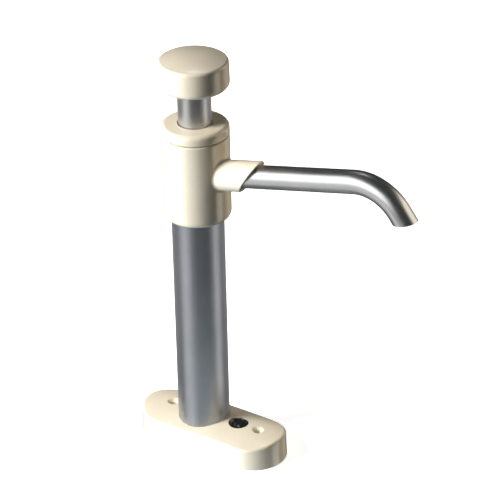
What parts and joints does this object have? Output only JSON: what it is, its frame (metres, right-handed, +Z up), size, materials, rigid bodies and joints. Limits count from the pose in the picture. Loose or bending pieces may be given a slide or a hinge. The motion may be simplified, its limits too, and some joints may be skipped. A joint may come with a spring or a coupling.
{
  "type": "hand pump",
  "caption": "Vertical plunger hand pump for a galley counter: crowned round-ended base, metal barrel, swivelling head with a bent spout, and a round palm knob.",
  "frame": {"origin": "centre of the inlet bore on the barrel's axis, at the base's underside", "axes": "+Z up along the barrel, +X along the base's long axis, the way the spout points at rest"},
  "size_m": [0.2329, 0.0508, 0.3123],
  "materials": {
    "cream_plastic": "glossy moulded plastic, warm ivory",
    "barrel_aluminium": "satin anodised, grey with a blue tint",
    "bright_aluminium": "satin bright",
    "black_plastic": "high gloss black",
    "rubber": "matt black",
    "valve_plastic": "natural white engineering plastic",
    "steel": "plain stainless"
  },
  "bodies": {
    "pump_base": {"base_plate": "cream_plastic", "badge_disc": "black_plastic", "barrel": "barrel_aluminium", "barrel_foot_oring": "rubber", "inlet_gasket": "rubber", "foot_valve_body": "valve_plastic", "foot_valve_oring": "rubber", "foot_valve_stem": "valve_plastic", "foot_screws": "steel", "head_circlip": "steel", "head_thrust_washer": "valve_plastic", "gland_cap": "cream_plastic", "gland_oring": "rubber", "shaft_bush": "valve_plastic", "shaft_seal": "rubber", "wiper_ring": "rubber"},
    "swivel_head": {"spout_head": "cream_plastic", "head_oring_lower": "rubber", "head_oring_upper": "rubber", "spout_tube": "bright_aluminium", "spout_oring": "rubber"},
    "seal_ring": {"piston_seal": "rubber"},
    "plunger": {"knob": "cream_plastic", "knob_stud": "steel", "shaft_top_plug": "valve_plastic", "plunger_shaft": "bright_aluminium", "shaft_end_plug": "valve_plastic", "piston": "valve_plastic", "piston_bolt": "steel"},
    "piston_valve": {"piston_valve_disc": "rubber"},
    "foot_valve": {"foot_valve_disc": "rubber"}
  },
  "joints": [
    {"name": "head_swivel", "type": "hinge", "parent": "pump_base", "child": "swivel_head", "pos_m": [0, 0, 0.22], "axis": [0, 0, 1], "continuous": true},
    {"name": "plunger_slide", "type": "slide", "parent": "pump_base", "child": "seal_ring", "axis": [0, 0, 1], "range_m": [-0.026, 0.095]},
    {"name": "plunger_twist", "type": "hinge", "parent": "seal_ring", "child": "plunger", "pos_m": [0, 0, 0.15], "axis": [0, 0, 1], "continuous": true},
    {"name": "piston_valve_lift", "type": "slide", "parent": "plunger", "child": "piston_valve", "axis": [0, 0, 1], "range_m": [0, 0.0025]},
    {"name": "foot_valve_lift", "type": "slide", "parent": "pump_base", "child": "foot_valve", "axis": [0, 0, 1], "range_m": [0, 0.0025]}
  ]
}
